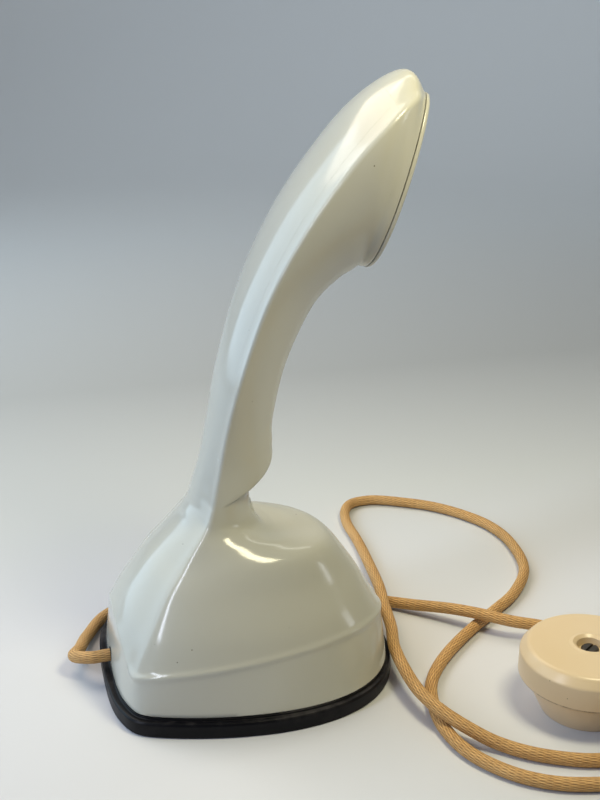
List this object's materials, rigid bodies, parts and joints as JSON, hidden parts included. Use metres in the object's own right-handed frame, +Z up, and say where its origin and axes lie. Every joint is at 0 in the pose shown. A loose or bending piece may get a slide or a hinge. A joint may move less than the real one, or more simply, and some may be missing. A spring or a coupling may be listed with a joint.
{
  "type": "one-piece telephone",
  "caption": "Upright one-piece desk telephone: curved handset neck rising from a rounded body, dial and hook button in its underside, rubber foot, braided cord and round wall plug.",
  "frame": {"origin": "on the dial's axis at the table, in the middle of the hook button's lower face", "axes": "+Z up, +X towards the earpiece's face and the front of the body, +Y to the telephone's left"},
  "size_m": [0.312, 0.2789, 0.235],
  "materials": {
    "case_plastic": "aged gloss",
    "foot_rubber": "worn satin",
    "steel": "satin",
    "brass": "satin",
    "dial_white": "gloss",
    "button_red": "gloss",
    "inner_plastic": "matte",
    "capsule_aluminium": "satin",
    "wire_green": "matte",
    "cord_textile": "braided",
    "plug_cream": "aged gloss"
  },
  "bodies": {
    "case": {"case_shell": "case_plastic", "back_cover": "case_plastic", "case_bosses": "case_plastic", "ear_cap": "case_plastic", "receiver_capsule": "capsule_aluminium", "receiver_gasket": "foot_rubber", "receiver_wires": "wire_green", "transmitter_capsule": "capsule_aluminium", "transmitter_bracket": "steel", "foot_ring": "foot_rubber", "chassis_plate": "steel", "chassis_screws": "steel", "number_plate": "dial_white", "finger_stop": "steel", "dial_spring": "steel", "hub_tube": "brass", "bridge_plate": "steel", "bridge_pillars": "brass", "bridge_screws": "steel", "governor_cup": "brass", "governor_bridge": "steel", "governor_pillars": "brass", "pulse_contacts": "brass", "hook_spring": "steel", "lever_pin": "steel", "lever_bracket": "steel", "hook_contacts": "brass", "coil_core": "steel", "coil_winding": "brass", "capacitor": "capsule_aluminium", "capacitor_clip": "steel", "terminal_block": "inner_plastic", "terminal_screws": "brass", "cord_clamp": "steel", "cord_grommet": "foot_rubber", "cord_run": "cord_textile", "cord_coil": "cord_textile", "cord_tie": "foot_rubber", "cord_tail": "cord_textile", "plug_cover": "plug_cream", "plug_body": "plug_cream", "plug_pins": "brass", "plug_screw": "steel", "plug_grommet": "foot_rubber"},
    "dial": {"finger_wheel": "dial_white", "dial_sleeve": "brass", "main_gear": "brass"},
    "governor": {"governor_spindle": "steel", "governor_weights": "brass", "pulse_cam": "dial_white"},
    "plunger": {"hook_button": "button_red", "hook_stem": "steel", "stem_collar": "steel"},
    "lever": {"hook_lever": "steel"}
  },
  "joints": [
    {"name": "dial_turn", "type": "hinge", "parent": "case", "child": "dial", "pos_m": [0, 0, 0.0035], "axis": [0, 0, 1], "range_deg": [0, 330], "stiffness_Nm_per_rad": 0.004, "springref_deg": -57.3},
    {"name": "governor_spin", "type": "hinge", "parent": "case", "child": "governor", "pos_m": [0, 0.029, 0.013], "axis": [0, 0, 1], "range_deg": [-1660, 10]},
    {"name": "hook_press", "type": "slide", "parent": "case", "child": "plunger", "axis": [0, 0, -1], "range_m": [0, 0.005], "stiffness_N_per_m": 150, "springref_m": 0.012, "deforming": ["hook_spring"]},
    {"name": "lever_swing", "type": "hinge", "parent": "case", "child": "lever", "pos_m": [-0.02, 0, 0.0306], "axis": [0, 1, 0], "range_deg": [0, 14]}
  ],
  "couplings": [
    {"joint": "governor_spin", "follows": "dial_turn", "ratio": -5},
    {"joint": "lever_swing", "follows": "hook_press", "rad_per_m": 48}
  ]
}
